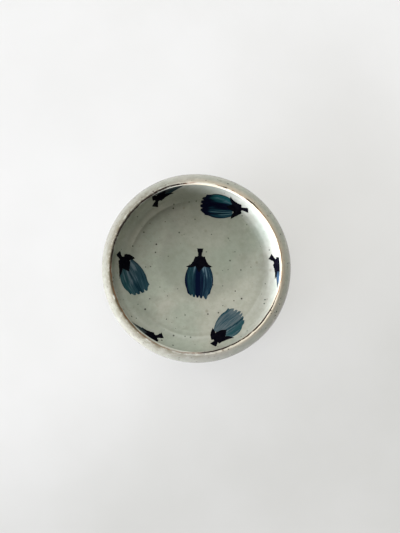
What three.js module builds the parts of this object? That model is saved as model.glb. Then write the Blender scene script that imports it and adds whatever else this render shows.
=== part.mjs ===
// A round stoneware serving bowl with a drawn-in mouth, a glossy grey-green glaze, an
// iron-brown lip and seven painted aubergines inside: one on the floor's middle, three where
// the floor turns up and three higher on the wall.
// Millimetres. The bowl stands on z = 0 and its axis is Z.
import * as THREE from "three";

// Finished sizes, over the glaze
const bowlHeight = 58;
const bellyRadius = 75;
const bellyHeight = 41;
const lipRadius = 64.8;
const lipThickness = 2.9;
const lipLean = 22;
const shoulderSlope = 48;
const baseSlope = 5;
const wallThickness = 6.2;

// How far each stretch of the section holds its end directions, as a share of its length
const floorPull = 0.4;
const wallPull = 0.46;
const rimPull = 0.36;
const shoulderPull = 0.38;
const basePull = 0.56;

// Floor of the inside: a shallow dish that ends in a soft crease, where the wall starts
const floorThickness = 6.6;
const floorRadius = 58.5;
const floorRise = 2.4;
const floorTilt = 9;
const creaseTilt = 24;

// Foot: a ring that is luted under the base
const footHeight = 7.8;
const footRadius = 39;
const footWidth = 7.4;
const footTaper = 0.9;
const footChamfer = 0.8;

// Coats: the glaze lies on the clay, and the paint on the glaze
const glazeThickness = 0.7;
const glazeSeat = 0.05;
const glazeStop = 2.2;
const paintThickness = 0.4;
const paintSeat = 0.35;

// A painted aubergine, from the tip of its stem to the blossom end of its fruit
const stemLength = 6.6;
const stemTipWidth = 4.6;
const stemWaist = 2.8;
const calyxWidth = 20.6;
const calyxSpread = 0.85;
const stemShare = 0.4;
const sideSepalLength = 9.4;
const middleSepalLength = 13.8;
const sepalNotchLength = 7.6;
const motifLength = 42.5;
const fruitWidth = 24.6;
const fruitEndWidth = 15;
const fruitEndRound = 2.6;
const brushGap = 0.5;

// Where the aubergines lie. The motif's middle is a way out, along the surface, from the
// floor's middle, from the crease or from the middle of the wall, counted in motif lengths.
// Azimuth is counted from +X, and heading turns the motif's axis, from stem to blossom end,
// away from the uphill direction. Length and width scale one sort of brushwork.
const motifs = [
  { name: "centre", on: "floor", out: 0.106, azimuth: -51, heading: -40, length: 1, width: 1 },
  { name: "floor_left", on: "crease", out: -0.024, azimuth: 182.5, heading: 119, length: 0.96, width: 0.97 },
  { name: "floor_top", on: "crease", out: 0.01, azimuth: 65, heading: 109, length: 0.96, width: 0.92 },
  { name: "floor_right", on: "crease", out: -0.038, azimuth: -64, heading: 117, length: 0.9, width: 0.92 },
  { name: "wall_left", on: "wall", out: -0.016, azimuth: 112, heading: -42, length: 1, width: 1 },
  { name: "wall_right", on: "wall", out: -0.016, azimuth: -2.5, heading: -42, length: 1, width: 1 },
  { name: "wall_bottom", on: "wall", out: -0.016, azimuth: 231, heading: -42, length: 1, width: 1 },
];

// Fineness of the facets
const turnSteps = 60;
const floorSteps = 3;
const wallSteps = 6;
const rimSteps = 4;
const lipSteps = 5;
const shoulderSteps = 4;
const baseSteps = 8;
const acrossSteps = 8;
const alongSteps = 6;

const degree = Math.PI / 180;
const coat = glazeThickness + glazeSeat;
const lipHalf = lipThickness / 2;
const floorHeight = footHeight + floorThickness;
const creaseHeight = floorHeight + floorRise;
const cavityRadius = bellyRadius - wallThickness;
const glazeStopRadius = footRadius + glazeStop;

function pointing(angle, length) {
  return new THREE.Vector2(Math.cos(angle * degree), Math.sin(angle * degree)).multiplyScalar(length);
}

// A curve from one point to another that leaves and arrives along given directions. Pull is
// the share of the straight distance that each direction holds.
function bend(start, leave, end, arrive, pull) {
  const reach = start.distanceTo(end) * pull;
  return new THREE.CubicBezierCurve(
    start,
    start.clone().add(pointing(leave, reach)),
    end.clone().sub(pointing(arrive, reach)),
    end,
  );
}

// The bowl's section, as points (radius, height), from the floor's middle over the lip and
// down to where the glaze stops beside the foot
const floorMiddle = new THREE.Vector2(0, floorHeight);
const crease = new THREE.Vector2(floorRadius, creaseHeight);
const cavity = new THREE.Vector2(cavityRadius, bellyHeight);
const lipCentre = new THREE.Vector2(lipRadius, bowlHeight - lipHalf);
const lipInside = lipCentre.clone().add(pointing(180 + lipLean, lipHalf));
const lipOutside = lipCentre.clone().add(pointing(90 - shoulderSlope, lipHalf));
const belly = new THREE.Vector2(bellyRadius, bellyHeight);
const glazeEnd = new THREE.Vector2(glazeStopRadius, footHeight - coat);

const insideCurve = new THREE.CurvePath();
insideCurve.add(bend(floorMiddle, 0, crease, floorTilt, floorPull));
insideCurve.add(bend(crease, creaseTilt, cavity, 90, wallPull));
insideCurve.add(bend(cavity, 90, lipInside, 90 + lipLean, rimPull));
const lipArc = new THREE.ArcCurve(
  lipCentre.x, lipCentre.y, lipHalf, (180 + lipLean) * degree, (90 - shoulderSlope) * degree, true,
);
const shoulderCurve = bend(lipOutside, -shoulderSlope, belly, -90, shoulderPull);
const baseCurve = bend(belly, -90, glazeEnd, 180 + baseSlope, basePull);

// Points of a curve, each with the way the curve runs there
function walk(curve, steps) {
  const line = [];
  for (let i = 0; i <= steps; i += 1) {
    line.push({ at: curve.getPoint(i / steps), way: curve.getTangent(i / steps) });
  }
  return line;
}

// Lines end to end. Where two meet, the way is the mean of both.
function joined(first, ...others) {
  const line = [...first];
  for (const other of others) {
    const corner = line[line.length - 1];
    const way = corner.way.clone().add(other[0].way).normalize();
    line[line.length - 1] = { at: corner.at, way };
    line.push(...other.slice(1));
  }
  return line;
}

const insideLine = joined(
  walk(insideCurve.curves[0], floorSteps),
  walk(insideCurve.curves[1], wallSteps),
  walk(insideCurve.curves[2], rimSteps),
);
const lipLine = walk(lipArc, lipSteps);
const outsideLine = joined(walk(shoulderCurve, shoulderSteps), walk(baseCurve, baseSteps));

// The line's points moved sideways into the clay by a depth. A point on the axis stays on it.
function sunk(line, depth) {
  return line.map(({ at, way }) => {
    const radius = at.x === 0 ? 0 : at.x + way.y * depth;
    return new THREE.Vector2(radius, at.y - way.x * depth);
  });
}

// A closed coat: the line, and the same line sunk by the coat's thickness, back again
function coatSection(line) {
  const section = [...sunk(line, 0), ...sunk(line, glazeThickness).reverse()];
  if (section[0].x > 0) {
    section.push(section[0].clone());
  }
  return section;
}

// A section turned about the upright axis
function turned(section) {
  return new THREE.LatheGeometry([...section].reverse(), turnSteps).rotateX(Math.PI / 2);
}

function named(name, geometry, color, roughness) {
  const material = new THREE.MeshStandardMaterial({ color, roughness, metalness: 0 });
  const mesh = new THREE.Mesh(geometry, material);
  mesh.name = name;
  return mesh;
}

// The thrown clay, whose skin lies one coat under the finished surface. Its base is flat where
// the foot is luted on.
function clayBody() {
  const section = [
    ...sunk(insideLine, coat),
    ...sunk(lipLine, coat).slice(1, -1),
    ...sunk(outsideLine, coat),
    new THREE.Vector2(0, footHeight),
  ];
  section[section.length - 2].y = footHeight;
  return turned(section);
}

// The foot ring, tapered on both sides, with a flat face to stand on
function footRing() {
  const top = footHeight - glazeSeat;
  const innerRadius = footRadius - footWidth;
  const section = [
    [footRadius, top],
    [footRadius - footTaper, footChamfer],
    [footRadius - footTaper - footChamfer, 0],
    [innerRadius + footTaper + footChamfer, 0],
    [innerRadius + footTaper, footChamfer],
    [innerRadius, top],
    [footRadius, top],
  ];
  return turned(section.map(([radius, height]) => new THREE.Vector2(radius, height)));
}

// The end faces of neighbouring coats keep one seat between them at the lip
function lipCoat() {
  const shift = glazeSeat / lipHalf;
  const arc = new THREE.ArcCurve(
    lipCentre.x, lipCentre.y, lipHalf, lipArc.aStartAngle - shift, lipArc.aEndAngle + shift, true,
  );
  return turned(coatSection(walk(arc, lipSteps)));
}

// A point over the painted inside. The motif is drawn flat, along and across its axis, and
// rolled onto the cone that touches the bowl at the motif's middle, as paper would be. The
// cone is a flat disc where the floor is nearly flat, and close to a tube on the upright wall.
const insideLength = insideCurve.getLength();
const creaseReach = insideCurve.curves[0].getLength();
const starts = { floor: 0, crease: creaseReach, wall: (creaseReach + insideLength) / 2 };
const nearlyFlat = 0.99;
const nearlyUpright = 0.05;

function overInside(motif, along, across, lift) {
  const start = starts[motif.on] + motif.out * motifLength;
  const middle = insideCurve.getPointAt(start / insideLength);
  const slope = insideCurve.getTangentAt(start / insideLength);
  const spread = slope.x > nearlyFlat ? 1 : Math.max(slope.x, nearlyUpright);
  const apex = middle.x / spread;
  const turn = motif.heading * degree;
  const uphill = along * Math.cos(turn) - across * Math.sin(turn);
  const sideways = along * Math.sin(turn) + across * Math.cos(turn);
  const reach = start + Math.hypot(apex + uphill, sideways) - apex;
  const azimuth = motif.azimuth * degree + Math.atan2(sideways, apex + uphill) / spread;
  const point = insideCurve.getPointAt(reach / insideLength);
  const way = insideCurve.getTangentAt(reach / insideLength);
  const radius = point.x - way.y * lift;
  return new THREE.Vector3(
    radius * Math.cos(azimuth), radius * Math.sin(azimuth), point.y + way.x * lift,
  );
}

// A painted patch: a thin block whose width and length follow two functions of its own grid.
// Side runs from -1 to 1 across, and share from 0 to 1 along.
function paintedPatch(motif, outline) {
  const block = new THREE.BoxGeometry(2, 1, 1, acrossSteps, alongSteps, 1);
  const places = block.getAttribute("position");
  for (let i = 0; i < places.count; i += 1) {
    const side = places.getX(i);
    const share = places.getY(i) + 0.5;
    const lift = paintSeat + (places.getZ(i) + 0.5) * paintThickness;
    const [along, across] = outline(side, share);
    const point = overInside(
      motif, (along - motifLength / 2) * motif.length, -across * motif.width, lift,
    );
    places.setXYZ(i, point.x, point.y, point.z);
  }
  block.deleteAttribute("normal");
  block.deleteAttribute("uv");
  return block;
}

// How far the calyx reaches from the stem's tip: three pointed sepals, with a notch between
// the middle one and each side one
function sepalReach(side) {
  const fromNotch = Math.abs(Math.abs(side) - 0.5) * 2;
  const tip = Math.abs(side) > 0.5 ? sideSepalLength : middleSepalLength;
  return stemLength + sepalNotchLength + (tip - sepalNotchLength) * fromNotch;
}

// Stem and calyx in one stroke: a flared tip, a narrow waist, then the shoulders of the cap
function calyxOutline(side, share) {
  const along = share * sepalReach(side);
  if (share < stemShare) {
    const stemWidth = THREE.MathUtils.lerp(stemTipWidth, stemWaist, share / stemShare);
    return [along, (side * stemWidth) / 2];
  }
  const spread = Math.pow((share - stemShare) / (1 - stemShare), calyxSpread);
  return [along, (side * THREE.MathUtils.lerp(stemWaist, calyxWidth, spread)) / 2];
}

// The fruit starts at the sepals' edge, swells to its full width and ends in a blunt round
function fruitOutline(side, share) {
  const start = sepalReach(side) + brushGap;
  const end = motifLength - fruitEndRound * side * side;
  const swell = (fruitWidth - calyxWidth) * Math.sin(Math.PI * share);
  const width = THREE.MathUtils.lerp(calyxWidth, fruitEndWidth, Math.pow(share, 3)) + swell;
  return [THREE.MathUtils.lerp(start, end, share), (side * width) / 2];
}

const clayColor = 0xa08a72;
const glazeColor = 0x9da096;
const lipColor = 0x7a5a3c;
const fruitColor = 0x2c4a58;
const calyxColor = 0x14161c;

const bowl = new THREE.Group();
bowl.add(named("clay_body", clayBody(), clayColor, 0.85));
bowl.add(named("foot_ring", footRing(), clayColor, 0.85));
bowl.add(named("inner_glaze", turned(coatSection(insideLine)), glazeColor, 0.15));
bowl.add(named("outer_glaze", turned(coatSection(outsideLine)), glazeColor, 0.15));
bowl.add(named("lip_band", lipCoat(), lipColor, 0.3));
for (const motif of motifs) {
  bowl.add(named(`fruit_${motif.name}`, paintedPatch(motif, fruitOutline), fruitColor, 0.3));
  bowl.add(named(`calyx_${motif.name}`, paintedPatch(motif, calyxOutline), calyxColor, 0.3));
}

export default bowl;
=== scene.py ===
import math

import bpy
import numpy as np
from mathutils import Matrix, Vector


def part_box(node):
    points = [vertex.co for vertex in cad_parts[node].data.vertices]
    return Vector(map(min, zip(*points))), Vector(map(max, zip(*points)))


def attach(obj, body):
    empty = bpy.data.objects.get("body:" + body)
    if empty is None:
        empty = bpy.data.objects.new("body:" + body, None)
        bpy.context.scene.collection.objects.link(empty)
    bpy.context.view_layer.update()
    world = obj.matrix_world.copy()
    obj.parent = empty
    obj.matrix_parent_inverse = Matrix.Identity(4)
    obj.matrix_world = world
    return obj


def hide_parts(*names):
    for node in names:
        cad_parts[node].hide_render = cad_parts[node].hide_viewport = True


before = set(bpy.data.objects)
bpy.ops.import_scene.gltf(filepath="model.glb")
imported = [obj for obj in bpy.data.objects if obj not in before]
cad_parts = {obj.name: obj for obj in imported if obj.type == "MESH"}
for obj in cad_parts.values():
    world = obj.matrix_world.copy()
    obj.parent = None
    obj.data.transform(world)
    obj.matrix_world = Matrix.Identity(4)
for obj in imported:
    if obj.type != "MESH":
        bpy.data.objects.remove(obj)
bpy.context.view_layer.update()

# The thrown bowl: one lump of iron-bearing stoneware, pulled up on the wheel and, once
# leather-hard, turned over and trimmed. The glaze covers it all but a strip beside the foot
# and the recess inside it, where the turning tool's spiral and a small nub still show.
mm = 0.001
degree = math.pi / 180
turn = 2 * math.pi
bowl_height = 58 * mm
belly_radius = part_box("outer_glaze")[1].x
belly_height = 41 * mm
lip_radius = 64.8 * mm
lip_half = 1.45 * mm
lip_lean = 22
shoulder_slope = 48
base_slope = 5
wall_thickness = 6.2 * mm
floor_radius = 58.5 * mm
floor_rise = 2.4 * mm
floor_tilt = 9
crease_tilt = 24
crease_softness = 0.9 * mm
pole_radius = 0.4 * mm
glaze_thickness = 0.7 * mm
glaze_seat = 0.05 * mm
glaze_stop = 2.2 * mm
foot_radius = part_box("foot_ring")[1].x
foot_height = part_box("clay_body")[0].z
floor_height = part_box("inner_glaze")[0].z + glaze_thickness
coat = glaze_thickness + glaze_seat


def pointing(angle, length):
    """The vector of a length at an angle in degrees."""
    return length * np.array([math.cos(angle * degree), math.sin(angle * degree)])


def bend(start, leave, end, arrive, pull, count=400):
    """A cubic Bezier that leaves and arrives along two directions in degrees. Its handles are
    a share, pull, of the straight distance. Gives points (radius, height)."""
    start, end = np.array(start), np.array(end)
    handle = pull * np.linalg.norm(end - start)
    first, second = start + pointing(leave, handle), end - pointing(arrive, handle)
    t = np.linspace(0, 1, count)[:, None]
    return (1 - t) ** 3 * start + 3 * (1 - t) ** 2 * t * first + 3 * (1 - t) * t**2 * second + t**3 * end


def length_of(line):
    """The sum of the straight steps between a line's points."""
    return np.linalg.norm(np.diff(line, axis=0), axis=1).sum()


def walk(line, reach):
    """The point and the unit direction of a line at distances along it."""
    places = np.concatenate([[0], np.cumsum(np.linalg.norm(np.diff(line, axis=0), axis=1))])
    way = np.gradient(line, places, axis=0)
    way /= np.linalg.norm(way, axis=1, keepdims=True)
    at = [np.stack([np.interp(reach, places, part[:, k]) for k in (0, 1)], -1) for part in (line, way)]
    return at[0], at[1] / np.linalg.norm(at[1], axis=-1, keepdims=True)


def softened(line, middle, width):
    """The line at even steps, averaged with a bell-shaped weight near one distance along it,
    so that a corner there becomes a soft bend."""
    step = 0.1 * mm
    reach = np.arange(0, length_of(line), step)
    even = walk(line, reach)[0]
    offsets = np.arange(-3 * width, 3 * width, step)
    bell = np.exp(-((offsets / width) ** 2))
    mean = np.stack([np.convolve(np.pad(even[:, k], len(bell) // 2, "edge"), bell / bell.sum(), "same")
                     for k in (0, 1)], -1)[len(bell) // 2:][:len(even)]
    share = np.exp(-(((reach - middle) / (4 * width)) ** 4))[:, None]
    return even + share * (mean - even)


cavity_radius = belly_radius - wall_thickness
crease = (floor_radius, floor_height + floor_rise)
cavity = (cavity_radius, belly_height)
lip_centre = np.array([lip_radius, bowl_height - lip_half])
lip_inside = lip_centre + pointing(180 + lip_lean, lip_half)
lip_outside = lip_centre + pointing(90 - shoulder_slope, lip_half)
floor_line = bend((0, floor_height), 0, crease, floor_tilt, pull=0.4)
crease_reach = length_of(floor_line)
inside_line = softened(np.vstack([
    floor_line,
    bend(crease, crease_tilt, cavity, 90, pull=0.46)[1:],
    bend(cavity, 90, lip_inside, 90 + lip_lean, pull=0.36)[1:],
]), crease_reach, crease_softness)
lip_angles = np.linspace(180 + lip_lean, 90 - shoulder_slope, 200) * degree
lip_line = lip_centre + lip_half * np.stack([np.cos(lip_angles), np.sin(lip_angles)], -1)
outside_line = np.vstack([
    bend(lip_outside, -shoulder_slope, (belly_radius, belly_height), -90, pull=0.38),
    bend((belly_radius, belly_height), -90, (foot_radius + glaze_stop, foot_height - coat),
         180 + base_slope, pull=0.56)[1:],
])
inside_length, lip_length, outside_length = (length_of(x) for x in (inside_line, lip_line, outside_line))


def around(azimuth, middle, width, power=2):
    """A bell of 1 at one azimuth, in degrees, that fades over a width to both sides. A higher
    power gives it a flatter top."""
    off = (azimuth / degree - middle + 180) % 360 - 180
    return np.exp(-(np.abs(off / width) ** power))


def bells(azimuth, *parts):
    """A sum of such bells, each given as (amount, middle, width, power)."""
    return sum(amount * around(azimuth, middle, width, power) for amount, middle, width, power in parts)


def lobes(azimuth, parts):
    """A sum of cosines round the bowl, each given as (how many, amount, phase)."""
    return sum(amount * np.cos(count * azimuth + phase) for count, amount, phase in parts)


wheel_lobes = [(2, 0.0028, -3.3), (3, 0.0014, 1.1), (7, 0.0007, -2)]
left_pull = 0.026
lip_lobes = [(1, 0.22 * mm, -2.2), (2, 0.14 * mm, 0.7), (5, 0.06 * mm, 0.4)]


def out_of_round(points):
    """Where the wheel and the kiln left each point: the wall leans in and out by a few lobes
    and most on the left, and the lip rises and falls, from nothing at the foot to most at the
    lip."""
    x, y, z = np.moveaxis(points, -1, 0)
    azimuth = np.arctan2(y, x)
    rise = np.clip((z - foot_height) / (bowl_height - foot_height), 0, 1) ** 2
    swing = 1 + rise * (lobes(azimuth, wheel_lobes) + left_pull * rise * around(azimuth, 160, 65, 4))
    lift = rise * lobes(azimuth, lip_lobes)
    return np.stack([x * swing, y * swing, z + lift], -1)


def on_line(line, reach, azimuth, lift):
    """Points over a section line: a distance along it, a turn about the axis, and a lift to
    the line's left, which is the glaze's free side."""
    point, way = walk(line, reach)
    radius = point[..., 0] - way[..., 1] * lift
    height = point[..., 1] + way[..., 0] * lift
    radius, height, azimuth = np.broadcast_arrays(radius, height, azimuth)
    return out_of_round(np.stack([radius * np.cos(azimuth), radius * np.sin(azimuth), height], -1))


def enclosed(points, faces):
    """Six times the volume inside the faces, which is negative where they point inwards."""
    total = 0
    for corners in faces:
        first = points[corners[:, 0]]
        for k in range(1, corners.shape[1] - 1):
            total += np.sum(first * np.cross(points[corners[:, k]], points[corners[:, k + 1]]))
    return total


def piece(name, points, faces, sharp=50):
    """A mesh object at the origin from points and arrays of three- or four-cornered faces,
    which are turned round where they point inwards. Edges over the sharp angle stay crisp."""
    if enclosed(points, faces) < 0:
        faces = [corners[:, ::-1] for corners in faces]
    mesh = bpy.data.meshes.new(name)
    sizes = np.concatenate([np.full(len(corners), corners.shape[1]) for corners in faces])
    mesh.vertices.add(len(points))
    mesh.vertices.foreach_set("co", points.astype(np.float32).ravel())
    mesh.loops.add(int(sizes.sum()))
    mesh.loops.foreach_set("vertex_index", np.concatenate([c.ravel() for c in faces]).astype(np.int32))
    mesh.polygons.add(len(sizes))
    mesh.polygons.foreach_set("loop_start", (np.cumsum(sizes) - sizes).astype(np.int32))
    mesh.polygons.foreach_set("use_smooth", np.ones(len(sizes), bool))
    mesh.update(calc_edges=True)
    mesh.set_sharp_from_angle(angle=sharp * degree)
    thing = bpy.data.objects.new(name, mesh)
    bpy.context.scene.collection.objects.link(thing)
    return thing


def thrown(name, grid, capped=False):
    """A closed mesh of a grid whose columns go once round the bowl and whose rows follow a
    closed section. A capped section runs from axis to axis, and its two end rings are closed
    by fans."""
    rows, columns = grid.shape[:2]
    index = np.arange(rows * columns).reshape(rows, columns)
    points = grid.reshape(-1, 3)
    start = index[:-1] if capped else index
    end = index[1:] if capped else np.roll(index, -1, 0)
    faces = [np.stack([start, np.roll(start, -1, 1), np.roll(end, -1, 1), end], -1).reshape(-1, 4)]
    if capped:
        first, last = index[0], index[-1]
        top, bottom = np.full(columns, rows * columns), np.full(columns, rows * columns + 1)
        faces.append(np.stack([np.roll(first, -1), first, top], -1))
        faces.append(np.stack([last, np.roll(last, -1), bottom], -1))
        points = np.vstack([points, grid[0].mean(0), grid[-1].mean(0)])
    return piece(name, points, faces)


def round_steps(count):
    """Azimuths in even steps once round the bowl."""
    return np.arange(count) / count * turn


recess_edge = 9 * mm
spiral_pitch = 2.3 * mm
spiral_depth = 0.07 * mm
nub_height = 0.5 * mm
nub_radius = 2.6 * mm


def turned_base(radius, azimuth):
    """The base's height: flat, with the turning tool's shallow spiral inside the foot, which
    fades at its edge and its eye, and a nub at the eye."""
    recess = np.clip((foot_radius - recess_edge - radius) / (2 * mm), 0, 1) * np.clip(radius / (3 * mm), 0, 1)
    spiral = spiral_depth * (1 - np.cos(turn * radius / spiral_pitch - azimuth))
    nub = nub_height * np.exp(-((radius / nub_radius) ** 2))
    return foot_height + recess * spiral - nub


body_azimuth = round_steps(384)
base_radius = np.linspace(foot_radius + glaze_stop - 0.1 * mm, pole_radius, 84)[:, None]
base_grid = np.stack([
    base_radius * np.cos(body_azimuth),
    base_radius * np.sin(body_azimuth),
    turned_base(base_radius, body_azimuth),
], -1)
clay_body = thrown("thrown_clay", np.vstack([
    on_line(inside_line, np.linspace(pole_radius, inside_length, 50)[:, None], body_azimuth, -coat),
    on_line(lip_line, np.linspace(0, lip_length, 9)[1:-1, None], body_azimuth, -coat),
    on_line(outside_line, np.linspace(0, outside_length, 64)[:, None], body_azimuth, -coat),
    base_grid,
]), capped=True)


def new_finish(name):
    """A material with only its Principled shader and output, as (material, shader)."""
    finish = bpy.data.materials.new(name)
    finish.use_nodes = True
    return finish, finish.node_tree.nodes["Principled BSDF"]


def add(shader, kind, inputs=(), **settings):
    """Adds a node to the shader's tree. Inputs are given by place or name, as a value or as
    the output that feeds them."""
    tree = shader.id_data
    node = tree.nodes.new("ShaderNode" + kind)
    for key, value in settings.items():
        setattr(node, key, value)
    for key, value in dict(inputs).items():
        if isinstance(value, bpy.types.NodeSocket):
            tree.links.new(value, node.inputs[key])
        else:
            node.inputs[key].default_value = value
    return node


def feed(shader, key, output):
    """Links an output to one of the shader's inputs."""
    shader.id_data.links.new(output, shader.inputs[key])


def sums(shader, operation, first, second=0.0, third=0.0):
    """One step of arithmetic on values or outputs."""
    return add(shader, "Math", {0: first, 1: second, 2: third}, operation=operation).outputs[0]


def times(shader, first, second):
    """The product of two values or outputs."""
    return sums(shader, "MULTIPLY", first, second)


def fade(shader, value, low, high, start=0.0, end=1.0):
    """Runs smoothly from start to end while a value goes from low to high."""
    inputs = {"Value": value, 1: low, 2: high, 3: start, 4: end}
    return add(shader, "MapRange", inputs, interpolation_type="SMOOTHSTEP").outputs[0]


def mixed(shader, share, first, second, way="MIX"):
    """Two colours mixed by a share, each a colour or an output."""
    colours = {key: (*value, 1) if isinstance(value, tuple) else value
               for key, value in ((6, first), (7, second))}
    node = add(shader, "Mix", {0: share, **colours}, data_type="RGBA", blend_type=way)
    return node.outputs[2]


def places(shader):
    """Each point's place in the bowl's own space, in metres."""
    return add(shader, "TexCoord").outputs["Object"]


def cloud(shader, scale, detail=2.0, rough=0.5, vector=None):
    """Noise from 0 to 1 in the bowl's own space, its scale in waves per metre."""
    inputs = {"Vector": vector or places(shader), "Scale": scale, "Detail": detail, "Roughness": rough}
    return add(shader, "TexNoise", inputs).outputs["Fac"]


def specks(shader, cell, radius, blur):
    """Share of iron spots: a ball of a random part of the radius sits in each cell of a 3-D
    cell pattern, and shows where the surface cuts it. It is solid out to blur times its own
    radius, and fades from there. Lengths in metres."""
    cells = add(shader, "TexVoronoi", {"Vector": places(shader), "Scale": 1 / cell, "Randomness": 1.0})
    luck = add(shader, "SeparateColor", {0: cells.outputs["Color"]}).outputs[0]
    size = times(shader, luck, radius / cell)
    return fade(shader, cells.outputs["Distance"], times(shader, size, blur), size, 1.0, 0.0)


def relief(shader, height, depth):
    """Bump from a height of 0 to 1 that stands for a depth in metres."""
    bump = add(shader, "Bump", {"Height": height, "Distance": depth, "Strength": 1.0})
    feed(shader, "Normal", bump.outputs[0])


buff = (0.36, 0.26, 0.17)
iron_flush = (0.29, 0.16, 0.085)
sand = (0.44, 0.35, 0.25)
clay_speck = (0.05, 0.03, 0.02)


def bare_clay(name):
    """Fired stoneware without glaze: buff, flushed orange-brown by iron in patches, with sand
    grains and dark specks."""
    finish, shader = new_finish(name)
    body = mixed(shader, fade(shader, cloud(shader, 45, 4), 0.38, 0.68), buff, iron_flush)
    grain = cloud(shader, 1900, 3, 0.65)
    body = mixed(shader, fade(shader, grain, 0.35, 0.7), body, sand)
    body = mixed(shader, specks(shader, 3.2 * mm, 0.4 * mm, 0.5), body, clay_speck)
    feed(shader, "Base Color", body)
    shader.inputs["Roughness"].default_value = 0.82
    relief(shader, grain, 0.09 * mm)
    return finish


clay_finish = bare_clay("bare_stoneware")


def fit(thing, finish, slot, *nodes):
    """Gives a piece its finish and seats it on the bowl in place of its solids. The slot is not used."""
    thing.data.materials.append(finish)
    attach(thing, "root")
    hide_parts(*nodes)


fit(clay_body, clay_finish, "stoneware", "clay_body")

# The foot: a ring of the same clay, luted under the base and turned to a taper, so that the
# bowl can be gripped for dipping. Its edges are worn soft, and its flat end stands bare on the
# table, because glaze there would stick to the kiln shelf.
foot_width = 7.4 * mm
foot_taper = 0.9 * mm
foot_chamfer = 0.8 * mm
foot_fillet = 0.7 * mm
foot_wear = 0.28 * mm
foot_lobes = [(2, 0.003, 1), (5, 0.0012, -1)]
foot_inner = foot_radius - foot_width
foot_outline = np.array([
    (foot_radius + foot_fillet, foot_height),
    (foot_radius, foot_height - foot_fillet),
    (foot_radius - foot_taper, foot_chamfer),
    (foot_radius - foot_taper - foot_chamfer, 0),
    (foot_inner + foot_taper + foot_chamfer, 0),
    (foot_inner + foot_taper, foot_chamfer),
    (foot_inner, foot_height - foot_fillet),
    (foot_inner - foot_fillet, foot_height),
    (foot_radius + foot_fillet, foot_height),
])


def worn(outline, count, wear):
    """A closed outline at even steps, its corners rounded by damping the high waves of its
    Fourier series."""
    even = walk(outline, np.arange(count) / count * length_of(outline))[0]
    waves = np.fft.fft(even[:, 0] + 1j * even[:, 1])
    order = np.fft.fftfreq(count, 1 / count) * turn * wear / length_of(outline)
    smooth = np.fft.ifft(waves * np.exp(-(order**2) / 2))
    return np.stack([smooth.real, np.clip(smooth.imag, 0, foot_height)], -1)


foot_azimuth = round_steps(384)
foot_section = worn(foot_outline, 170, foot_wear)
foot_swing = 1 + lobes(foot_azimuth, foot_lobes)
foot_grid = np.stack([
    foot_section[:, None, 0] * foot_swing * np.cos(foot_azimuth),
    foot_section[:, None, 0] * foot_swing * np.sin(foot_azimuth),
    foot_section[:, None, 1] + 0 * foot_azimuth,
], -1)
foot = thrown("turned_foot", foot_grid)
fit(foot, clay_finish, "stoneware", "foot_ring")

# The glaze inside: an ash glaze, dipped while the clay was porous and melted to a grey-green
# glass 0.7 mm thick. It follows the thrower's finger rings and the crease round the floor, and
# iron from the clay comes through it as specks.
crease_groove = 0.16 * mm
groove_half = 0.9 * mm
ridge_half = 1.1 * mm
ridge_offset = 2.4 * mm
ring_pitch = 7.4 * mm
ring_height = 0.018 * mm
fine_ring_pitch = 3.3 * mm
fine_ring_height = 0.006 * mm
ring_fade = 9 * mm


def finger_rings(reach, azimuth):
    """Height of the finger marks over the smooth section: spiral waves that climb one pitch
    a turn, which grow from the floor's middle, with a groove and a ridge along the crease."""
    spiral = (ring_height * np.cos(turn * reach / ring_pitch - azimuth)
              + fine_ring_height * np.cos(turn * reach / fine_ring_pitch - azimuth + 1.7 * np.cos(azimuth)))
    grown = np.clip(reach / ring_fade, 0, 1) * np.clip((inside_length - reach) / (4 * mm), 0, 1)
    drift = reach - crease_reach - 0.5 * mm * np.cos(azimuth - 1.1)
    groove = -crease_groove * np.exp(-((drift / groove_half) ** 2))
    ridge = 0.6 * crease_groove * np.exp(-(((drift + ridge_offset) / ridge_half) ** 2))
    return spiral * grown + groove + ridge


def on_inside(reach, azimuth, lift):
    """Points over the inside with its finger marks."""
    return on_line(inside_line, reach, azimuth, lift + finger_rings(reach, azimuth))


glaze_azimuth = round_steps(480)
inside_reach = np.linspace(pole_radius, inside_length, 140)[:, None]
hidden_inside = inside_reach[::-7]
inside_glaze = thrown("glaze_inside", np.vstack([
    on_inside(inside_reach, glaze_azimuth, 0),
    on_line(inside_line, hidden_inside, glaze_azimuth, -glaze_thickness),
]), capped=True)
cool_ash = (0.375, 0.405, 0.336)
warm_ash = (0.45, 0.445, 0.378)
melted_ash = (0.20, 0.215, 0.165)
# The dark grey-green used for the inside glaze's deeper and shaded parts.
pooled_and_shaded_ash = (0.19, 0.21, 0.163)
iron_smudge = (0.19, 0.195, 0.13)
iron_blotch = (0.16, 0.13, 0.08)
brown_iron = (0.09, 0.075, 0.05)
black_iron = (0.035, 0.032, 0.028)


def ash_glaze(shader, speck_cell=4.9 * mm, mottle=0.26):
    """The glaze's colour: cool grey-green and warmer grey in soft clouds, mottled by a darker
    melt, with faint smudges, wide brown blotches, small brown specks and large black ones. The
    speck cell is how far the large ones lie apart, and the mottle is the darker melt's share."""
    tone = mixed(shader, fade(shader, cloud(shader, 26, 3), 0.36, 0.64), cool_ash, warm_ash)
    fine = fade(shader, cloud(shader, 240, 4, 0.6), 0.3, 0.75)
    tone = mixed(shader, times(shader, fine, mottle), tone, melted_ash)
    smudge = fade(shader, cloud(shader, 85, 3, 0.6), 0.5, 0.72)
    tone = mixed(shader, times(shader, smudge, 0.2), tone, iron_smudge)
    for cell, radius, blur, strength, colour in (
            (9 * mm, 2.2 * mm, 0.1, 0.38, iron_blotch),
            (3.5 * mm, 0.45 * mm, 0.3, 0.6, brown_iron),
            (speck_cell, 1.05 * mm, 0.6, 0.95, black_iron)):
        spots = times(shader, specks(shader, cell, radius, blur), strength)
        tone = mixed(shader, spots, tone, colour)
    return tone


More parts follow.
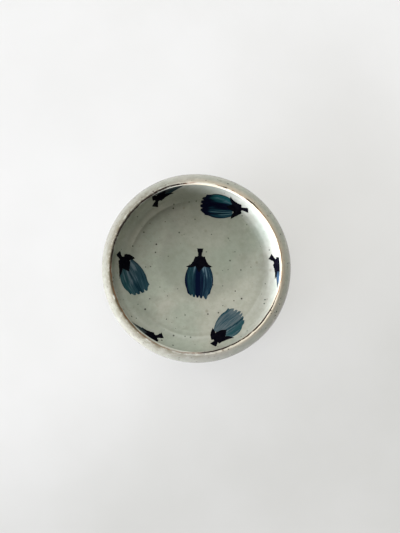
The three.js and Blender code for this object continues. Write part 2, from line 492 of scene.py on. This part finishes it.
def pooled_and_shaded(shader, colour):
    """A glaze colour with painted shade: darker on a round patch over the floor, shifted towards the upper
    right and with a wavering edge, so that the lower floor stays lighter, and in a band up the wall,
    partly the glaze's own darker tone there and partly painted shade, most at the upper left."""
    x, y, _ = add(shader, "SeparateXYZ", {0: places(shader)}).outputs
    squares = sums(shader, "ADD", sums(shader, "POWER", x, 2.0), sums(shader, "POWER", y, 2.0))
    radius = sums(shader, "SQRT", squares)
    drift = sums(shader, "MULTIPLY_ADD", cloud(shader, 22, 2), 14 * mm, radius)
    drift = sums(shader, "MULTIPLY_ADD", y, -0.34, drift)
    drift = sums(shader, "MULTIPLY_ADD", x, -0.22, drift)
    # Painted shade: a darker round patch over the floor, reaching furthest towards the upper right.
    shaded_disc = fade(shader, drift, 36 * mm, 50 * mm, 0.42, 0)
    # Painted shade up the wall, strongest at the upper left, where that wall lies in shade.
    upper_left = sums(shader, "MULTIPLY_ADD", x, -0.45, y)
    upper_left_shade = fade(shader, upper_left, 28 * mm, 62 * mm, 1.5, 3.4)
    wall = times(shader, fade(shader, radius, 50 * mm, 61.5 * mm, 0, 0.14), upper_left_shade)
    return mixed(shader, sums(shader, "MAXIMUM", shaded_disc, wall), colour, pooled_and_shaded_ash)


def glassy(shader, colour, shine=0.5):
    """A fired surface: glassy, with faint orange peel that blurs its reflections. The shine is
    0.5 for clear glass and less for a paint that mutes it."""
    feed(shader, "Base Color", colour)
    feed(shader, "Roughness", fade(shader, cloud(shader, 90, 3), 0.3, 0.7, 0.1, 0.2))
    shader.inputs["IOR"].default_value = 1.5
    shader.inputs["Specular IOR Level"].default_value = shine
    relief(shader, cloud(shader, 420, 2), 0.05 * mm)


glaze_finish, glaze_shader = new_finish("ash_glaze_inside")
glassy(glaze_shader, pooled_and_shaded(glaze_shader, ash_glaze(glaze_shader)))
fit(inside_glaze, glaze_finish, "ash_glaze", "inner_glaze")

# The glaze outside: the same dip, running from the lip over the shoulder and the belly. It
# ends in a thick rolled edge that wanders a few millimetres short of the foot, wiped back so
# that the bowl wouldn't stick in the kiln.
roll_depth = 0.3 * mm
roll_width = 1.5 * mm
roll_round = 0.6 * mm
edge_lobes = [(2, 0.7 * mm, 0.8), (5, 0.4 * mm, -1.3), (11, 0.2 * mm, 0)]
wide_pitch = 8.5 * mm
wide_height = 0.06 * mm
close_pitch = 3.9 * mm
close_height = 0.02 * mm
mark_fade = 6 * mm


def glaze_edge(azimuth):
    """Distance along the outside where the glaze stops: short of its limit by waves round
    the bowl, with a few deeper runs."""
    short = 1.3 * mm + lobes(azimuth, edge_lobes)
    return outside_length - 0.3 * mm - np.clip(short, 0, None)


def outside_rings(reach, azimuth):
    """Height of the marks outside: a wide, shallow spiral and a closer one under the glaze,
    both fading to the ends."""
    spiral = (wide_height * np.cos(turn * reach / wide_pitch + azimuth)
              + close_height * np.cos(turn * reach / close_pitch + azimuth))
    return spiral * np.clip(reach / mark_fade, 0, 1) * np.clip((outside_length - reach) / mark_fade, 0, 1)


outside_share = np.concatenate([np.linspace(0, 0.97, 104), np.linspace(0.97, 1, 14)[1:]])[:, None]
outside_reach = outside_share * glaze_edge(glaze_azimuth)
to_edge = glaze_edge(glaze_azimuth) - outside_reach
rolled = glaze_thickness + roll_depth * np.exp(-((to_edge / roll_width) ** 2))
rounding = np.sqrt(1 - np.clip(1 - to_edge / roll_round, 0, 1) ** 2)
outside_top = (outside_rings(outside_reach, glaze_azimuth) + rolled) * rounding - glaze_thickness
hidden_outside = outside_reach[::-9]
outside_glaze = thrown("glaze_outside", np.vstack([
    on_line(outside_line, outside_reach, glaze_azimuth, outside_top),
    on_line(outside_line, hidden_outside, glaze_azimuth, -glaze_thickness),
]))


def mark(thing, name, columns):
    """Stores three numbers for each point of a piece, for its material to read."""
    layer = thing.data.attributes.new(name, "FLOAT_VECTOR", "POINT")
    rows = np.stack([np.ravel(column) for column in np.broadcast_arrays(*columns)], -1)
    layer.data.foreach_set("vector", rows.astype(np.float32).ravel())


def read(shader, name):
    """The three numbers stored under a name, as outputs."""
    stored = add(shader, "Attribute", attribute_name=name).outputs["Vector"]
    return add(shader, "SeparateXYZ", {0: stored}).outputs


def iron_burn(azimuth, crossed):
    """What the melt left of the iron at a distance crossed from the lip's inner edge: the
    distance past the dark line in millimetres, and the strengths of that line and of the brown
    blush outside it, which come and go round the lip. On the upper left the distance inside the
    line is squeezed, which spreads the line and the blush over the lip's inner rounding as painted
    shade."""
    line = 0.9 + bells(azimuth, (1.0, 135, 42, 4), (1.7, -56, 32, 4), (0.9, 50, 5, 2),
                       (0.9, 73, 5, 2), (-1.6, 84, 9, 2), (-0.5, 255, 22, 2))
    blush = 0.12 + bells(azimuth, (0.88, 172, 74, 4), (0.55, -104, 44, 2), (-0.12, -38, 30, 4))
    past = crossed / mm - 3.0 + bells(azimuth, (1.1, 165, 75, 4), (1.55, -55, 42, 4))
    # Painted shade: on the upper left the distances inside the line are squeezed, so the line and the tawny
    # blush spread over the lip's shaded inner rounding.
    past = past / np.where(past < 0, 1 + 0.8 * around(azimuth, 150, 65, 4), 1)
    return past, np.clip(line, 0, 2.4), np.clip(blush, 0, 1)


highlight_gold = (0.48, 0.40, 0.265)
warm_gold = (0.46, 0.38, 0.26)
tawny = (0.078, 0.068, 0.042)
iron_fleck = (0.04, 0.03, 0.02)
rust = (0.17, 0.075, 0.03)
scorched = (0.016, 0.009, 0.006)


def burnt(shader, colour):
    """A glaze colour with the iron over it. Where the blush is weak, a painted highlight of pale gold
    lies inside the line, on the lip's lit inner rounding, and a warmer gold fades away outside it. Over
    them come the tawny blush, dark flecks beside the strongest stretches, and the broken line, rust
    where it is weak and nearly black where it is strong."""
    past, line, blush = read(shader, "iron_burn")
    wobble = sums(shader, "SUBTRACT", cloud(shader, 150, 3), 0.5)
    past = sums(shader, "MULTIPLY_ADD", wobble, 1.3, past)
    # Painted highlight: a pale gold band just inside the line, where the blush is weak.
    crest_highlight = times(shader, fade(shader, past, -2.0, -0.9), fade(shader, past, -0.8, -0.1, 1, 0))
    crest_highlight = times(shader, crest_highlight, fade(shader, blush, 0.1, 0.8, 0.9, 0))
    colour = mixed(shader, crest_highlight, colour, highlight_gold)
    gold = times(shader, fade(shader, past, -0.2, 0.4), fade(shader, past, 0.4, 7.0, 1, 0))
    gold = times(shader, gold, fade(shader, blush, 0.1, 0.8, 0.7, 0))
    colour = mixed(shader, gold, colour, warm_gold)
    veil = times(shader, fade(shader, past, -1.1, 0.2), fade(shader, past, 0.2, 11.0, 0.95, 0.4))
    patches = fade(shader, cloud(shader, 210, 5, 0.7), 0.34, 0.58, 0.62, 1.1)
    colour = mixed(shader, times(shader, times(shader, veil, blush), patches), colour, tawny)
    flecks = times(shader, specks(shader, 3.0 * mm, 0.9 * mm, 0.6), fade(shader, line, 1.1, 2.0))
    flecks = times(shader, flecks, fade(shader, past, 2.5, 8.0, 1, 0))
    colour = mixed(shader, flecks, colour, iron_fleck)
    breadth = sums(shader, "MULTIPLY_ADD", line, 0.3, 0.3)
    drawn = times(shader, fade(shader, sums(shader, "ABSOLUTE", past), 0.1, breadth, 1, 0), line)
    drawn = times(shader, drawn, fade(shader, cloud(shader, 230, 3, 0.6), 0.36, 0.5, 0.35, 1))
    return mixed(shader, drawn, colour, mixed(shader, fade(shader, line, 0.9, 1.5), rust, scorched))


crossed = np.vstack([outside_reach, hidden_outside]) + lip_length
mark(outside_glaze, "iron_burn", iron_burn(glaze_azimuth, crossed))

# Painted shade outside: the glaze is mixed towards a dark grey on the left and the lower shoulder,
# and on the right only past the shoulder's crown, where the belly turns away from the light.
past_crown = np.clip((crossed - lip_length - 9 * mm) / (5 * mm), 0, 1)
shade_share = (bells(glaze_azimuth, (0.68, 158, 52, 2), (0.6, -88, 40, 2))
        + bells(glaze_azimuth, (0.6, -48, 34, 4), (0.4, 12, 30, 4)) * past_crown)
mark(outside_glaze, "painted_shade", [np.clip(shade_share, 0, 1), 0, 0])
outside_finish, outside_shader = new_finish("ash_glaze_outside")
outside_tone = ash_glaze(outside_shader, speck_cell=3.4 * mm, mottle=0.4)
outside_tone = mixed(outside_shader, 1.0, outside_tone, (0.80, 0.785, 0.75), "MULTIPLY")
painted_shade = read(outside_shader, "painted_shade")[0]
# The painted shade's dark grey.
outside_tone = mixed(outside_shader, painted_shade, outside_tone, (0.12, 0.122, 0.10))
glassy(outside_shader, burnt(outside_shader, outside_tone))
fit(outside_glaze, outside_finish, "ash_glaze", "outer_glaze")

# The lip: the glaze runs off this sharp edge while it melts, and the iron in the clay burns
# through what is left, as a broken dark line with a painted pale gold highlight inside it and a
# tawny blush outside, which fades into the shoulder. Nothing is fixed on: it is the same coat, thinned.
lip_turn = np.linspace(0, 1, 30)[:, None]
hidden_turn = lip_turn[::-5]
lip_bead = 0.05 * mm * np.sin(np.pi * lip_turn) * lobes(glaze_azimuth, [(4, 1, 1), (9, 1, 0)])
lip = thrown("iron_lip", np.vstack([
    on_line(lip_line, lip_turn * lip_length, glaze_azimuth, lip_bead),
    on_line(lip_line, hidden_turn * lip_length, glaze_azimuth, -glaze_thickness),
]))
crossed = np.vstack([lip_turn, hidden_turn]) * lip_length
mark(lip, "iron_burn", iron_burn(glaze_azimuth, crossed))
lip_finish, lip_shader = new_finish("iron_brown_lip")
glassy(lip_shader, burnt(lip_shader, ash_glaze(lip_shader)))
fit(lip, lip_finish, "iron_lip", "lip_band")

# Seven aubergines, an old good-luck figure, brushed on the raw glaze in two paints and fired
# with it. First the fruit: cobalt blue-teal, pulled from the stem end with a loaded brush that
# ran dry, so that it is dark where the brush was full and ragged at the blossom end.
motif_length = 42.5 * mm
paint_lift = 0.055 * mm
paint_depth = 0.12 * mm
nearly_flat = 0.99
nearly_upright = 0.05
starts = {"floor": 0, "crease": crease_reach, "wall": (crease_reach + inside_length) / 2}
motifs = [
    dict(name="centre", on="floor", out=0.106, azimuth=-51, heading=-40, length=1, width=1),
    dict(name="floor_left", on="crease", out=-0.024, azimuth=182.5, heading=119, length=0.96, width=0.97),
    dict(name="floor_top", on="crease", out=0.01, azimuth=65, heading=109, length=0.96, width=0.92),
    dict(name="floor_right", on="crease", out=-0.038, azimuth=-64, heading=117, length=0.9, width=0.92),
    dict(name="wall_left", on="wall", out=-0.016, azimuth=112, heading=-42, length=1, width=1),
    dict(name="wall_right", on="wall", out=-0.016, azimuth=-2.5, heading=-42, length=1, width=1),
    dict(name="wall_bottom", on="wall", out=-0.016, azimuth=231, heading=-42, length=1, width=1),
]


def over_inside(motif, along, across, lift):
    """Points over the inside for a motif drawn flat, along and across its axis: it is rolled
    onto the cone that touches the bowl at the motif's middle, as paper would be."""
    start = starts[motif["on"]] + motif["out"] * motif_length
    middle, slope = walk(inside_line, start)
    spread = 1 if slope[0] > nearly_flat else max(slope[0], nearly_upright)
    apex = middle[0] / spread
    heading = motif["heading"] * degree
    along, across = (along - motif_length / 2) * motif["length"], -across * motif["width"]
    uphill = along * math.cos(heading) - across * math.sin(heading)
    sideways = along * math.sin(heading) + across * math.cos(heading)
    reach = start + np.hypot(apex + uphill, sideways) - apex
    azimuth = motif["azimuth"] * degree + np.arctan2(sideways, apex + uphill) / spread
    return on_inside(reach, azimuth, lift)


def stroke(motif, along, across, lift):
    """A thin closed patch of paint over flat grids: one copy raised over the glaze and one
    sunk into it, joined round their edge. Gives points and faces."""
    points = np.vstack([over_inside(motif, along, across, height).reshape(-1, 3)
                        for height in (lift, -paint_depth)])
    top = np.arange(along.size).reshape(along.shape)
    rim = np.concatenate([top[0, :-1], top[:-1, -1], top[-1, :0:-1], top[:0:-1, 0]])
    upper = np.stack([top[:-1, :-1], top[1:, :-1], top[1:, 1:], top[:-1, 1:]], -1).reshape(-1, 4)
    sides = np.stack([rim, np.roll(rim, -1), np.roll(rim, -1) + along.size, rim + along.size], -1)
    return points, np.vstack([upper, upper[:, ::-1] + along.size, sides])


def eased(share, values):
    """Values at even steps, joined by smooth curves."""
    spans = len(values) - 1
    knot = np.minimum((share * spans).astype(int), spans - 1)
    t = share * spans - knot
    values = np.array(values, float)
    slopes = np.gradient(values)
    h00, h10 = 2 * t**3 - 3 * t**2 + 1, t**3 - 2 * t**2 + t
    h01, h11 = -2 * t**3 + 3 * t**2, t**3 - t**2
    return h00 * values[knot] + h10 * slopes[knot] + h01 * values[knot + 1] + h11 * slopes[knot + 1]


# The fruit's own grid: across it from -1 to 1 and down it from 0 to 1. Its length and its
# half-widths at even steps down are in millimetres.
fruit_length = 28
fruit_widths = [8.8, 10.4, 11.6, 12.2, 12.3, 11.8, 10.6, 6.6]
side = np.linspace(-1, 1, 121)[None, :]
share = np.linspace(0, 1, 90)[:, None]
pass_edge = 24
streaks_across = 10.0
streaks_down = 0.055
streak_depth = 1.9


def soaked(middle, width, start, end, slant, amount):
    """The load that one pass of the brush adds: an amount in a bell-shaped band, whose middle
    and width are shares of the fruit's half-width. It runs between two shares of the fruit's
    length, with soft ends, and slants across it."""
    band = np.exp(-(((side - middle - slant * (share - 0.5)) / width) ** 2))
    begun = 1 + np.exp((start - share) * pass_edge)
    ended = 1 + np.exp((share - end) * pass_edge)
    return amount * band / begun / ended


def fruit_paint(name, pale, mid, deep, second, slant, seed):
    """Cobalt paint that thins from nearly black through blue to pale as its load falls, in
    streaks that follow the brush, with a second, greener blue where it was mixed in."""
    finish, shader = new_finish(name)
    load, tint, _ = read(shader, "paint_load")
    across, down, _ = read(shader, "paint_place")
    across = sums(shader, "MULTIPLY_ADD", down, -slant / fruit_length, across)
    stretched = {0: times(shader, across, streaks_across), 1: times(shader, down, streaks_down),
                 2: float(seed)}
    flow = add(shader, "CombineXYZ", stretched).outputs[0]
    streak = sums(shader, "SUBTRACT", cloud(shader, 1.0, 5, 0.66, flow), 0.5)
    load = sums(shader, "MULTIPLY_ADD", streak, streak_depth, load)
    body = mixed(shader, tint, mid, second)
    colour = mixed(shader, fade(shader, load, -0.05, 0.45), pale, body)
    colour = mixed(shader, fade(shader, load, 0.45, 1.0), colour, deep)
    glassy(shader, colour, 0.1)
    return finish


# Each fruit: its shift across and how far down its top's two corners lie, plump to scale its
# widths, slant for its streaks, base for the even load under the passes of the brush, which are
# given as soaked takes them, and the ragged end as points (across, along), in millimetres.
rim_start = 0.86
rim_load = 0.4
second_start = 0.35
second_edge = 12
noise_apart = 7.3
wall_ends = [
    (-8.8, 39.5), (-7, 42), (-5, 43.2), (-3.4, 41.6), (-2, 43.6), (0, 43.4), (0.8, 41.6), (2.4, 43.2),
    (4.2, 41.2), (5.4, 42.6), (7.2, 40.6), (9.4, 39.4)]
fruits = {
    "centre": dict(
        shift=0.7, top=(14.9, 15.2), plump=1, slant=0, base=0.44,
        ends=[(-9, 39.5), (-7.6, 41), (-6.6, 44.2), (-5.4, 44), (-3.6, 41), (-2.6, 43.6), (-1.2, 43.2),
              (-0.5, 40.8), (0.5, 43), (1.8, 42.8), (2.6, 40.2), (3.4, 42.6), (4.8, 42.2), (5.6, 40),
              (6.4, 41.4), (9.5, 39)],
        passes=[(0.08, 0.25, 0, 1.1, 0, 0.7), (0.7, 0.3, 0.1, 1.1, 0, 0.2), (-0.24, 0.05, 0.1, 1.1, 0, 0.3),
                (-0.55, 0.1, -0.1, 0.35, 0, -0.3), (0.38, 0.1, -0.1, 0.22, 0, -0.6),
                (-0.36, 0.1, -0.1, 0.2, 0, -0.6), (-0.46, 0.05, 0.1, 1, 0, 0.3),
                (0.05, 0.13, 0.1, 1.1, 0, 0.4), (0.95, 0.12, 0.6, 1.1, 0, 0.4)],
        pale=(0.10, 0.16, 0.20), mid=(0.010, 0.031, 0.052),
        deep=(0.002, 0.005, 0.020), second=(0.012, 0.042, 0.052)),
    "floor_left": dict(
        shift=0.75, top=(12.2, 17.4), plump=0.93, slant=0.35, base=0.4,
        ends=[(-8.5, 40.5), (-6.8, 42), (-5.4, 44), (-4, 43.6), (-3.2, 41.4), (-2.2, 43.8), (0, 43.4),
              (0.8, 40.8), (1.8, 43), (3.6, 42.6), (4.4, 40.4), (5.4, 42), (7, 41.2), (7.8, 39), (9.5, 39)],
        passes=[(-0.05, 0.25, 0.62, 1, 0.2, 0.55), (0.02, 0.07, 0.25, 0.5, 0.1, 0.45),
                (-0.5, 0.2, 0, 0.35, 0.2, -0.42), (0.36, 0.09, 0.15, 0.75, 0.6, -0.15),
                (-0.7, 0.2, 0.3, 1.1, 0, 0.25)],
        pale=(0.12, 0.165, 0.19), mid=(0.022, 0.056, 0.073),
        deep=(0.003, 0.020, 0.032), second=(0.019, 0.066, 0.076)),
    "floor_top": dict(
        shift=0.5, top=(13.9, 16), plump=0.95, slant=0, base=0.56,
        ends=[(-8.8, 39.5), (-7, 42), (-5.6, 43.6), (-4.2, 43.2), (-3.4, 41.6), (-2.4, 44), (-0.4, 44),
              (0.4, 41.8), (1.4, 43.8), (3.4, 43.4), (4, 41.2), (5, 43), (6.6, 42), (7.2, 40), (9.6, 39)],
        passes=[(0.02, 0.28, 0, 1, 0.1, 0.6), (-0.68, 0.06, 0, 1, 0, 0.4), (0, 2, 0.76, 1.2, 0, 0.7),
                (0.5, 0.25, 0.05, 0.6, 0, -0.35), (-0.72, 0.035, -0.1, 0.5, 0, -0.9),
                (-0.52, 0.035, -0.1, 0.75, 0, -0.7), (-0.36, 0.03, 0.1, 0.6, 0, -0.5)],
        pale=(0.10, 0.17, 0.19), mid=(0.008, 0.042, 0.062),
        deep=(0.002, 0.003, 0.014), second=(0.007, 0.062, 0.064)),
    "floor_right": dict(
        shift=1, top=(12.2, 16.4), plump=0.98, slant=0.6, base=0.06,
        ends=[(-9, 38), (-7.4, 40), (-5.6, 41.2), (-4.5, 38.6), (-3.6, 41.4), (-2, 42), (-1.4, 39.4),
              (-0.6, 42), (1.4, 43), (2, 39), (2.8, 42.4), (4, 42), (4.6, 38.4), (5.4, 40.8), (6.8, 39.8),
              (7.8, 37.3), (8.8, 38.4), (10.6, 35.6)],
        passes=[(0.29, 0.06, 0.1, 1, 0.74, 0.8), (0.68, 0.32, 0.05, 1, 0.4, 0.4),
                (0.12, 0.08, 0.25, 0.95, 0.74, -0.3), (-0.3, 0.4, 0.35, 0.8, 0.3, 0.2),
                (-0.9, 0.12, 0.6, 1.1, 0, 0.35)],
        pale=(0.096, 0.128, 0.142), mid=(0.024, 0.062, 0.082),
        deep=(0.004, 0.022, 0.034), second=(0.017, 0.062, 0.072)),
    "wall_left": dict(
        shift=0, top=(14.2, 15.6), plump=0.96, slant=0, base=0.72, ends=wall_ends,
        passes=[(0, 0.4, 0, 1, 0, 0.5)],
        pale=(0.10, 0.15, 0.17), mid=(0.012, 0.03, 0.045),
        deep=(0.002, 0.005, 0.014), second=(0.012, 0.045, 0.05)),
    "wall_right": dict(
        shift=0, top=(14.2, 15.6), plump=0.96, slant=0, base=0.4, ends=wall_ends,
        passes=[(0, 0.35, 0, 1, 0, 0.4), (0.6, 0.25, 0.1, 0.6, 0, -0.3)],
        pale=(0.05, 0.09, 0.14), mid=(0.006, 0.018, 0.052),
        deep=(0.001, 0.003, 0.018), second=(0.006, 0.022, 0.04)),
    "wall_bottom": dict(
        shift=0, top=(14.2, 15.6), plump=0.96, slant=0, base=0.72, ends=wall_ends,
        passes=[(0, 0.4, 0, 1, 0, 0.5)],
        pale=(0.10, 0.15, 0.17), mid=(0.012, 0.03, 0.05),
        deep=(0.002, 0.005, 0.014), second=(0.012, 0.045, 0.05)),
}
for seed, motif in enumerate(motifs):
    brush = fruits[motif["name"]]
    tooth, reached = np.array(brush["ends"]).T
    end = np.interp(side * tooth.max(), tooth, reached) * mm
    top = np.interp(side, [-1, 1], brush["top"]) * mm
    along = top + (end - top) * share
    width = np.array(fruit_widths) * brush["plump"]
    width[-1] = (tooth.max() - tooth.min()) / 2 + 0.5
    across = (side * eased(share, width) + brush["shift"]) * mm
    points, faces = stroke(motif, along, across, paint_lift)
    fruit = piece("aubergine_fruit_" + motif["name"], points, [faces])
    rim = np.clip(np.abs(side) - rim_start, 0, 1) / (1 - rim_start)
    load = brush["base"] + rim_load * rim + 0 * share
    for one in brush["passes"]:
        load = load + soaked(*one)
    tint = 1 / (1 + np.exp((second_start - side + brush["slant"] * (share - 0.5)) * second_edge))
    mark(fruit, "paint_load", [np.stack([load] * 2), np.stack([tint] * 2), 0])
    mark(fruit, "paint_place", [np.stack([side + 0 * share] * 2), np.stack([along / mm] * 2), 0])
    finish = fruit_paint("cobalt_" + motif["name"], brush["pale"], brush["mid"], brush["deep"],
                         brush["second"], brush["slant"], noise_apart * seed)
    fit(fruit, finish, "cobalt_paint", "fruit_" + motif["name"])

# Over each fruit, the cap: stem, shoulders and three pointed sepals, set down with a small
# brush full of iron-black paint while the blue was wet. The stem is flared at its tip, the
# strokes lie on each other like leaves, each a hair higher, and no two caps are alike.
cap_lift = 0.03 * mm
stem_half = [2.7, 2.4, 1.8, 1.6, 2.6]
sepal_half = [1.8, 2.2, 2.1, 1.3, 0.12]
middle_half = [1.2, 4.2, 5.0, 4.9, 4.0, 2.0, 0.06]
stem_bend = 4
stem_root = 1.4
middle_bend = 12.5
middle_point = 20.8
left_root = -2.4
right_root = 2.8

# Each cap, in millimetres along and across its fruit: how far the stem's tip stands aside and
# how wide it flares, where the neck is, how far the middle sepal's point stands aside, and for
# the left and right sepals the bend and the point. Slim and broad scale the middle and left ones.
caps = {
    "centre": dict(tip=0.1, flare=2.7, neck=7.2, middle=1.0,
                   left=[(15.9, -3), (15.8, -10.8)], right=[(16.1, 3.2), (16, 12.2)]),
    "floor_left": dict(tip=1.5, flare=3.0, neck=7, middle=0.5, broad=1.25,
                       left=[(10.2, -6.2), (13.4, -10)], right=[(14, 3.6), (20.2, 11.3)]),
    "floor_top": dict(tip=0.2, flare=2.7, neck=6.8, middle=0.6, slim=0.8,
                      left=[(13.4, -5.6), (15.2, -10.6)], right=[(16.8, 3.2), (17.1, 12)]),
    "floor_right": dict(tip=1, flare=3.6, neck=5.4, middle=1.6, broad=1.2,
                        left=[(9.8, -6.2), (13.8, -9.7)], right=[(15.2, 4.6), (17.9, 12.8)]),
    "wall_left": dict(tip=0, flare=2.7, neck=7, middle=0.4,
                      left=[(11.5, -3.6), (15.0, -10.6)], right=[(13, 3), (17.3, 11.4)]),
    "wall_right": dict(tip=0, flare=2.7, neck=7, middle=0.4,
                       left=[(11.5, -3.6), (15.0, -10.6)], right=[(13, 3), (17.3, 11.4)]),
    "wall_bottom": dict(tip=0, flare=2.7, neck=7, middle=0.4,
                        left=[(11, -3.6), (13.6, -10.0)], right=[(12.6, 3), (17.3, 10.0)]),
}


def brushed(path, half, seed, rows=56, columns=15):
    """A flat brush stroke: a quadratic Bezier of three points (along, across), widened to
    both sides by half-widths at even steps, all in millimetres, with a slightly live edge."""
    t = np.linspace(0, 1, rows)[:, None]
    start, bent, end = np.array(path, float)
    line = (1 - t) ** 2 * start + 2 * t * (1 - t) * bent + t**2 * end
    way = 2 * (1 - t) * (bent - start) + 2 * t * (end - bent)
    way /= np.linalg.norm(way, axis=1, keepdims=True)
    width = eased(t, half) * (1 + 0.05 * np.cos(19 * t + seed) + 0.03 * np.cos(47 * t + 2 * seed))
    spread = width * np.linspace(-1, 1, columns)
    return (line[:, :1] - way[:, 1:] * spread) * mm, (line[:, 1:] + way[:, :1] * spread) * mm


def cap_strokes(shape):
    """The strokes of one cap as (path, half-widths), in millimetres: the stem, the middle
    sepal, the left one and the right one."""
    stem = [(0.1, shape["tip"]), (stem_bend, shape["tip"]), (shape["neck"] + stem_root, 0.3)]
    middle = [(shape["neck"] - 1, 0.2), (middle_bend, 0), (middle_point, shape["middle"])]
    return [
        (stem, np.array(stem_half) * shape["flare"] / stem_half[0]),
        (middle, np.array(middle_half) * shape.get("slim", 1)),
        ([(shape["neck"], left_root), *shape["left"]], np.array(sepal_half) * shape.get("broad", 1)),
        ([(shape["neck"], right_root), *shape["right"]], sepal_half),
    ]


cap_finish, cap_shader = new_finish("iron_black_paint")
cap_tone = mixed(cap_shader, fade(cap_shader, cloud(cap_shader, 420, 3), 0.35, 0.75),
                 (0.002, 0.002, 0.004), (0.005, 0.0047, 0.0072))
glassy(cap_shader, cap_tone, 0)
for seed, motif in enumerate(motifs):
    points, faces, count = [], [], 0
    for layer, (path, half) in enumerate(cap_strokes(caps[motif["name"]])):
        along, across = brushed(path, half, seed + layer)
        leaf, leaf_faces = stroke(motif, along, across, paint_lift + (layer + 1) * cap_lift)
        points.append(leaf)
        faces.append(leaf_faces + count)
        count += len(leaf)
    cap = piece("aubergine_cap_" + motif["name"], np.vstack(points), [np.vstack(faces)])
    fit(cap, cap_finish, "iron_paint", "calyx_" + motif["name"])

# What the bowl stands on: a pale, plain plastered table. It isn't part of the object.
table_half = 1.6
table_steps = 9
table_line = np.linspace(-table_half, table_half, table_steps)
table_x, table_y = np.meshgrid(table_line, table_line)
table_points = np.stack([table_x, table_y, 0 * table_x], -1).reshape(-1, 3)
cell = np.arange(table_steps**2).reshape(table_steps, table_steps)
table_faces = np.stack([cell[:-1, :-1], cell[:-1, 1:], cell[1:, 1:], cell[1:, :-1]], -1).reshape(-1, 4)
table = piece("table", table_points, [table_faces])
table_finish, table_shader = new_finish("pale_plaster")
table_tone = mixed(table_shader, fade(table_shader, cloud(table_shader, 9, 5, 0.6), 0.3, 0.7),
                   (0.56, 0.56, 0.532), (0.62, 0.62, 0.595))
feed(table_shader, "Base Color", table_tone)
table_shader.inputs["Roughness"].default_value = 0.6

# The table's glow is painted a little darker towards the lower right, as painted light falloff
# away from the windows; the table shows as pale to the camera and in reflections, without
# throwing more light on the bowl.
x, y, _ = add(table_shader, "SeparateXYZ", {0: places(table_shader)}).outputs
slope = sums(table_shader, "MULTIPLY_ADD", y, 0.9, times(table_shader, x, -0.45))
glow_with_falloff = mixed(table_shader, fade(table_shader, slope, -0.2, 0.0),
                  (0.49, 0.485, 0.445), (0.74, 0.735, 0.71))
glow = add(table_shader, "Emission", {0: glow_with_falloff})
ray = add(table_shader, "LightPath").outputs
seen = sums(table_shader, "MAXIMUM", ray["Is Camera Ray"], ray["Is Glossy Ray"])
seen = times(table_shader, sums(table_shader, "MAXIMUM", seen, ray["Is Transmission Ray"]), 0.75)
laid = add(table_shader, "MixShader", {0: seen, 1: table_shader.outputs[0], 2: glow.outputs[0]})
table_output = table_shader.id_data.nodes["Material Output"]
table_shader.id_data.links.new(laid.outputs[0], table_output.inputs["Surface"])
table.data.materials.append(table_finish)

# The light: the low sky of a wide window at the left, as three long lamps that shine across the
# bowl onto its inner wall, a higher window beyond it and a small warm glow from the right. Two
# lamps only show as soft reflections on the glaze.
def window(name, azimuth, elevation, distance, width, height, brightness, tint=(1, 1, 1)):
    """A soft rectangular lamp that faces the bowl, in degrees and metres. Its power is its
    brightness times its area times pi."""
    lamp = bpy.data.lights.new(name, "AREA")
    lamp.shape = "RECTANGLE"
    lamp.size, lamp.size_y = width, height
    lamp.energy = brightness * width * height * math.pi
    lamp.color = tint
    thing = bpy.data.objects.new(name, lamp)
    bpy.context.scene.collection.objects.link(thing)
    level = math.cos(elevation * degree)
    thing.location = (distance * level * math.cos(azimuth * degree),
                      distance * level * math.sin(azimuth * degree),
                      distance * math.sin(elevation * degree))
    thing.rotation_euler = (-thing.location).to_track_quat("-Z", "Y").to_euler()
    return thing


sky_tint = (0.94, 0.965, 1.12)
low_sky = dict(elevation=17.6, distance=4.0, width=2.45, height=0.36, tint=sky_tint)
sky = [
    window("low_left", azimuth=160, brightness=41, **low_sky),
    window("low_middle", azimuth=196, brightness=152, **low_sky),
    window("low_right", azimuth=228, brightness=98, **low_sky),
    window("high_window", azimuth=104, elevation=53, distance=2.0, width=2.4, height=1.7, brightness=3.6),
]
for lamp in sky:
    lamp.visible_glossy = False
window("warm_bounce", azimuth=-42, elevation=50, distance=1.6, width=1.2, height=0.9, brightness=0.8,
       tint=(1, 0.9, 0.76))
shines = [
    window("shine_across", azimuth=200, elevation=22, distance=1.8, width=3.4, height=1.0, brightness=2.5),
    window("shine_above", azimuth=118, elevation=60, distance=2.0, width=2.6, height=1.0, brightness=1.5),
]
for shine in shines:
    shine.visible_diffuse = False

# The room round it gives a little even light, shows pale to the camera, and stays dim in the
# glaze's reflections, as an unlit ceiling does.
room = bpy.data.worlds.new("room")
room.use_nodes = True
backdrop = room.node_tree.nodes["Background"]
backdrop.inputs["Color"].default_value = (1, 1, 1, 1)
ray = add(backdrop, "LightPath").outputs
room_light = 0.2
room_shine = 0.06
room_seen = 0.56
strength = fade(backdrop, ray["Is Glossy Ray"], 0, 1, room_light, room_shine)
strength = sums(backdrop, "MULTIPLY_ADD", ray["Is Camera Ray"], room_seen, strength)
feed(backdrop, "Strength", strength)
bpy.context.scene.world = room
bpy.context.scene.view_settings.view_transform = "Standard"

# The camera: a phone's wide lens, held almost straight over the bowl, 0.3 m above the lip.
eye = np.array([-3.5, -2.5, 361]) * mm
aim = np.array([2.1, 1.4, 58]) * mm
forward = (aim - eye) / np.linalg.norm(aim - eye)
right = np.cross(forward, (0, 1, 0))
right /= np.linalg.norm(right)
lens = bpy.data.cameras.new("camera")
lens.lens = 27
lens.clip_start = 0.01
camera = bpy.data.objects.new("camera", lens)
bpy.context.scene.collection.objects.link(camera)
pose = np.eye(4)
pose[:3, 0], pose[:3, 1], pose[:3, 2], pose[:3, 3] = right, np.cross(right, forward), -forward, eye
camera.matrix_world = Matrix(pose.tolist())
bpy.context.scene.camera = camera
